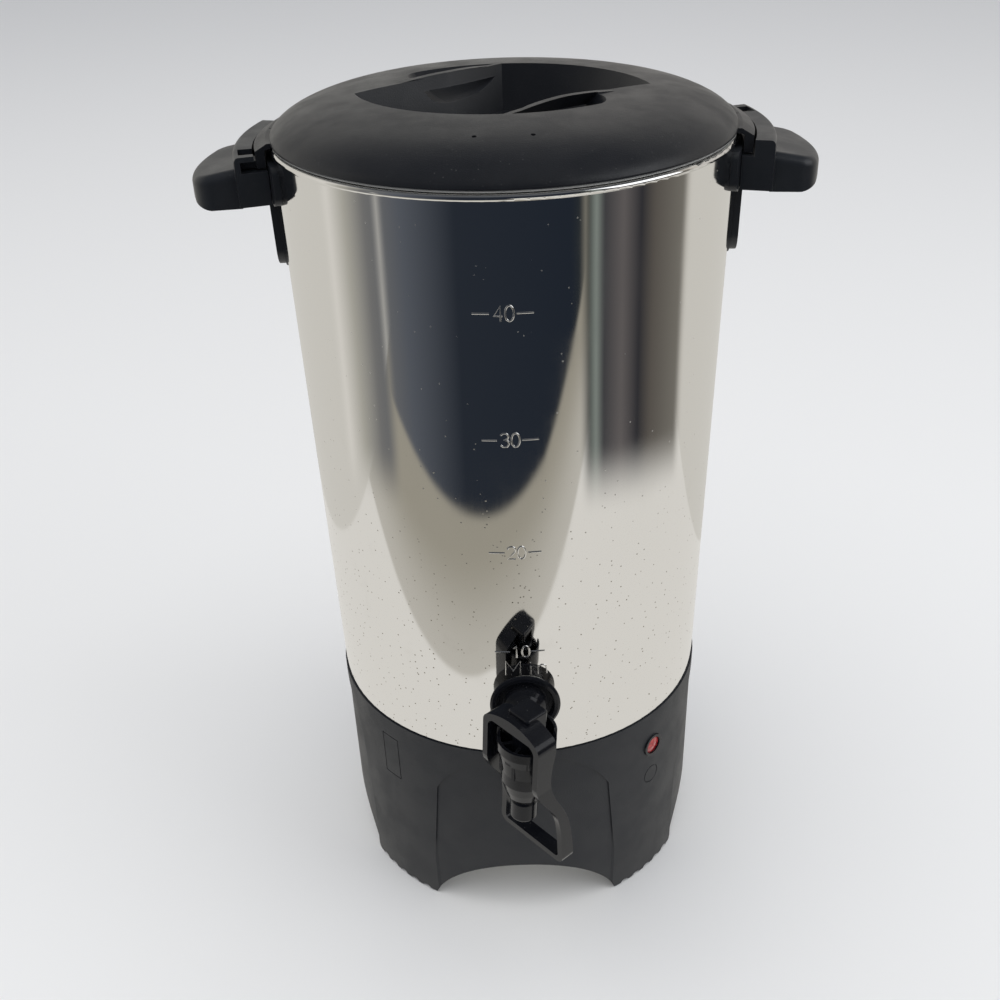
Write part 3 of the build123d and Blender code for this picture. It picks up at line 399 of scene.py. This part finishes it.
# centre lines of the raised figures, in a cell one wide and one tall
eighths = [turn * math.pi / 8 for turn in range(17)]
roundFigure = [(0.5 + 0.5 * math.sin(turn), 0.5 + 0.5 * math.cos(turn)) for turn in eighths]
figureStrokes = {
    "0": [roundFigure],
    "1": [[(0.2, 0.8), (0.55, 1), (0.55, 0)]],
    "2": [[(0, 0.78), (0.15, 0.94), (0.5, 1), (0.85, 0.93), (1, 0.75), (0.9, 0.56), (0, 0), (1, 0)]],
    "3": [[(0, 0.86), (0.25, 0.98), (0.7, 0.98), (0.95, 0.8), (0.8, 0.58), (0.4, 0.52), (0.85, 0.46), (1, 0.24),
           (0.75, 0.02), (0.25, 0.02), (0, 0.16)]],
    "4": [[(0.75, 0), (0.75, 1), (0, 0.34), (1, 0.34)]],
    "M": [[(0, 0), (0, 1), (0.5, 0.3), (1, 1), (1, 0)]],
    "i": [[(0.35, 0), (0.35, 0.62)], [(0.35, 0.86), (0.35, 0.9)]],
    "n": [[(0, 0), (0, 0.66), (0.08, 0.5), (0.32, 0.66), (0.62, 0.62), (0.75, 0.45), (0.75, 0)]]}


def steelRadius(z):
    rise = (z - steelWall["footZ"]) / (steelWall["rimZ"] - steelWall["footZ"])
    return steelWall["footRadius"] + rise * steelWall["widens"]


def addStroke(look, points):
    # one rounded bead whose centre line lies in the steel's surface
    bpy.ops.object.select_all(action="DESELECT")
    bpy.ops.curve.primitive_nurbs_path_add()
    stroke = bpy.context.active_object
    stroke.data.splines.clear()
    line = stroke.data.splines.new("POLY")
    line.points.add(len(points) - 1)
    for point, (x, z) in zip(line.points, points):
        radius = steelRadius(z) - look["sunk"]
        point.co = (x, -math.sqrt(radius ** 2 - x ** 2), z, 1)
    stroke.data.bevel_depth = look["halfThick"]
    stroke.data.bevel_resolution = look["roundSteps"]
    stroke.data.use_fill_caps = True
    bpy.ops.object.convert(target="MESH")
    return stroke


def markPaths(look, line):
    # the figures' strokes and the dashes beside them, as points across and up the front
    tall, wide, step = (line.get(key, look[key]) for key in ("tall", "wide", "step"))
    low = line["z"] - tall / 2
    paths = []
    for number, figure in enumerate(line["text"]):
        closer, thinner = look["narrow"].get(figure, (1, 1))
        left = line["firstX"] + number * step * closer
        for path in figureStrokes[figure]:
            paths.append([(left + x * wide * thinner, low + z * tall) for x, z in path])
    parts = look["dashParts"]
    for fromX, toX in line["dashes"]:
        paths.append([(fromX + (toX - fromX) * part / parts, line["z"]) for part in range(parts + 1)])
    return paths


def makeMark(look, line):
    # one level mark, pressed outwards from the steel
    strokes = [addStroke(look, path) for path in markPaths(look, line)]
    bpy.ops.object.select_all(action="DESELECT")
    for stroke in strokes:
        stroke.select_set(True)
    bpy.context.view_layer.objects.active = strokes[0]
    bpy.ops.object.join()
    mark = bpy.context.active_object
    mark.name = line["name"]
    bpy.ops.object.transform_apply(location=True, rotation=True, scale=True)
    bpy.ops.object.mode_set(mode="EDIT")
    bpy.ops.mesh.select_all(action="SELECT")
    bpy.ops.mesh.remove_doubles(threshold=look["merge"])
    bpy.ops.mesh.normals_make_consistent(inside=False)
    bpy.ops.object.mode_set(mode="OBJECT")
    bpy.ops.object.shade_smooth_by_angle(angle=math.radians(look["smoothAngle"]))
    mark.data.materials.clear()
    mark.data.materials.append(finishes[look["finish"]])
    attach(mark, "urn")


for line in levelMarks["lines"]:
    makeMark(levelMarks, line)
print("level marks raised on the steel")


# painted reflection: the tones the polished steel sees round the room, by direction in degrees from the front, right
# positive
paintedRoomTones = {
    -180: (0.56, 0.55, 0.52), -120: (0.62, 0.60, 0.56), -94: (0.70, 0.68, 0.64), -82: (0.40, 0.39, 0.35),
    -70: (0.17, 0.17, 0.17), -50: (0.09, 0.10, 0.12), -24: (0.02, 0.025, 0.035), 30: (0.015, 0.02, 0.03),
    38: (0.03, 0.035, 0.035), 42: (0.22, 0.25, 0.23), 46: (0.05, 0.05, 0.055), 56: (0.12, 0.11, 0.11),
    66: (0.03, 0.03, 0.035), 74: (0.10, 0.09, 0.08), 94: (0.18, 0.17, 0.15), 100: (0.56, 0.53, 0.48),
    130: (0.58, 0.56, 0.53)}


def roomAngle(tree, x, y):
    return mathNode(tree, "ARCTAN2", x, times(tree, y, -1.0))


def roomRamp(tree, angle):
    # the same ring of soft painted reflection tones for the floor and for the room behind it
    turn = mathNode(tree, "MULTIPLY_ADD", angle, 0.5 / math.pi, 0.5)
    ramp = addNode(tree, "ShaderNodeValToRGB", {"Fac": turn})
    stops = ramp.color_ramp.elements
    for number, (degrees, tone) in enumerate(sorted(paintedRoomTones.items())):
        stop = stops[number] if number < 2 else stops.new(1.0)
        stop.position = degrees / 360 + 0.5
        stop.color = (*tone, 1)
    return ramp.outputs["Color"]


# lines across the floor are a point and a slope, in metres; angles are in radians from the front
floorLook = {
    "size": 12, "below": 0.0003, "colour": (0.80, 0.80, 0.79, 1), "rough": 0.6,
    # nearTable, shadedTable and wall are painted reflection colours; shadedTable is painted shade on the table
    "nearTable": (0.72, 0.705, 0.67, 1), "shadedTable": (0.33, 0.31, 0.26, 1), "wall": (0.62, 0.605, 0.565, 1),
    "tableEdge": ((-0.059, -0.451), -0.307), "edgeBend": (0.144, -0.233), "edgeBlur": (-0.006, 0.016),
    "frontLeft": (-1.16, -1.02), "frontRight": (0.70, 0.58),
    "sideReach": (0.44, 0.55), "sideAngles": (1.75, 1.60),
    "leftWall": ((-0.274, 0.259), 1.60), "rightWall": ((0.244, 0.212), -0.52), "wallBlur": (0.0, -0.006),
    "shadeEdge": ((-0.381, -0.114), -0.46), "shadeBlur": (-0.002, 0.006), "shadeAngles": (0.95, 0.75),
    "shadeDepth": (0.0, 0.16, 0.55, 1.0)}


def pastLine(tree, x, y, line):
    # distance past a line across the floor, towards the front
    (startX, startY), slope = line
    height = mathNode(tree, "MULTIPLY_ADD", mathNode(tree, "SUBTRACT", x, startX), slope, startY)
    return mathNode(tree, "SUBTRACT", height, y)


def paintedFloorReflection(tree, look):
    # painted reflection of what polished metal sees below: the table with a painted shaded part, walls behind it, the
    # dark room past its edge
    place = objectPlace(tree)
    across = addNode(tree, "ShaderNodeSeparateXYZ", {"Vector": place}).outputs
    x, y = across["X"], across["Y"]
    angle = roomAngle(tree, x, y)
    bendFrom, bendSlope = look["edgeBend"]
    bend = times(tree, mathNode(tree, "MAXIMUM", mathNode(tree, "SUBTRACT", x, bendFrom), 0.0), bendSlope)
    pastEdge = mathNode(tree, "ADD", pastLine(tree, x, y, look["tableEdge"]), bend)
    front = times(tree, spread(tree, angle, *look["frontLeft"]), spread(tree, angle, *look["frontRight"]))
    beyond = times(tree, spread(tree, pastEdge, *look["edgeBlur"]), front)
    distance = addNode(tree, "ShaderNodeVectorMath", {0: place}, operation="LENGTH").outputs["Value"]
    aside = times(tree, spread(tree, distance, *look["sideReach"]), mathNode(tree, "SUBTRACT", 1.0, front))
    sides = times(tree, aside, spread(tree, mathNode(tree, "ABSOLUTE", angle), *look["sideAngles"]))
    behindLeft = spread(tree, pastLine(tree, x, y, look["leftWall"]), *look["wallBlur"])
    behindRight = spread(tree, pastLine(tree, x, y, look["rightWall"]), *look["wallBlur"])
    pastShade = pastLine(tree, x, y, look["shadeEdge"])
    shaded = times(tree, spread(tree, pastShade, *look["shadeBlur"]), spread(tree, angle, *look["shadeAngles"]))
    depth = spread(tree, pastShade, *look["shadeDepth"])
    # painted shade on the reflected table
    table = mixColour(tree, times(tree, shaded, depth), look["nearTable"], look["shadedTable"])
    walled = mixColour(tree, mathNode(tree, "MAXIMUM", behindLeft, behindRight), table, look["wall"])
    return mixColour(tree, mathNode(tree, "MAXIMUM", beyond, sides), walled, roomRamp(tree, angle))


def makeFloor(look):
    # plain pale floor; only glossy rays see the painted reflection of the table and room, which glows as an emission
    bpy.ops.object.select_all(action="DESELECT")
    bpy.ops.mesh.primitive_plane_add(size=look["size"], location=(0, 0, -look["below"]))
    floor = bpy.context.active_object
    floor.name = "floor"
    material, tree, shader = newMaterial("floorWithPaintedReflection")
    shader.inputs["Base Color"].default_value = look["colour"]
    shader.inputs["Roughness"].default_value = look["rough"]
    # painted reflection: an emission seen only by glossy rays
    shown = addNode(tree, "ShaderNodeEmission", {"Color": paintedFloorReflection(tree, look), "Strength": 1.0})
    glossy = addNode(tree, "ShaderNodeLightPath").outputs["Is Glossy Ray"]
    output = next(node for node in tree.nodes if node.type == "OUTPUT_MATERIAL")
    tree.links.new(mixShader(tree, glossy, shader, shown).outputs[0], output.inputs["Surface"])
    floor.data.materials.append(material)


worldLook = {
    "seen": (0.93, 0.93, 0.92, 1), "fill": (0.92, 0.94, 1.0, 1), "fillStrength": 0.64,
    "ceiling": (0.10, 0.105, 0.115, 1), "ceilingFrom": (0.45, 0.8)}


def makeWorld(look):
    # pale backdrop for the camera, the painted reflection ring of tones with a painted dark ceiling for glossy rays,
    # an even fill for the rest
    world = bpy.data.worlds.new("paleRoom")
    bpy.context.scene.world = world
    world.use_nodes = True
    tree = world.node_tree
    tree.nodes.clear()
    output = tree.nodes.new("ShaderNodeOutputWorld")
    generated = addNode(tree, "ShaderNodeTexCoord").outputs["Generated"]
    way = addNode(tree, "ShaderNodeSeparateXYZ", {"Vector": generated}).outputs
    room = roomRamp(tree, roomAngle(tree, way["X"], way["Y"]))
    # painted reflection: a dark ceiling above, seen only by glossy rays
    mirror = mixColour(tree, spread(tree, way["Z"], *look["ceilingFrom"]), room, look["ceiling"])
    fill = addNode(tree, "ShaderNodeBackground", {"Color": look["fill"], "Strength": look["fillStrength"]})
    shown = addNode(tree, "ShaderNodeBackground", {"Color": look["seen"], "Strength": 1.0})
    shine = addNode(tree, "ShaderNodeBackground", {"Color": mirror, "Strength": 1.0})
    paths = addNode(tree, "ShaderNodeLightPath").outputs
    lit = mixShader(tree, paths["Is Glossy Ray"], fill, shine)
    whole = mixShader(tree, paths["Is Camera Ray"], lit, shown)
    tree.links.new(whole.outputs[0], output.inputs["Surface"])


lamps = {
    "overheadLamp": {
        "place": (-0.3, -0.3, 2.8), "aim": (0, 0, 0.1), "size": 3.2, "power": 48, "colour": (1, 0.99, 0.97),
        "mirrored": False},
    "sideLamp": {
        "place": (1.6, -0.6, 1.2), "aim": (0, 0, 0.2), "size": 1.4, "power": 9, "colour": (0.95, 0.97, 1),
        "mirrored": True}}


def makeLamps():
    for name, lamp in lamps.items():
        bpy.ops.object.select_all(action="DESELECT")
        bpy.ops.object.light_add(type="AREA", location=lamp["place"])
        light = bpy.context.active_object
        light.name = name
        light.rotation_euler = (Vector(lamp["aim"]) - Vector(lamp["place"])).to_track_quat("-Z", "Y").to_euler()
        light.data.size = lamp["size"]
        light.data.energy = lamp["power"]
        light.data.color = lamp["colour"]
        light.visible_glossy = lamp["mirrored"]


makeFloor(floorLook)
makeWorld(worldLook)
makeLamps()
print("stage and lamps made")
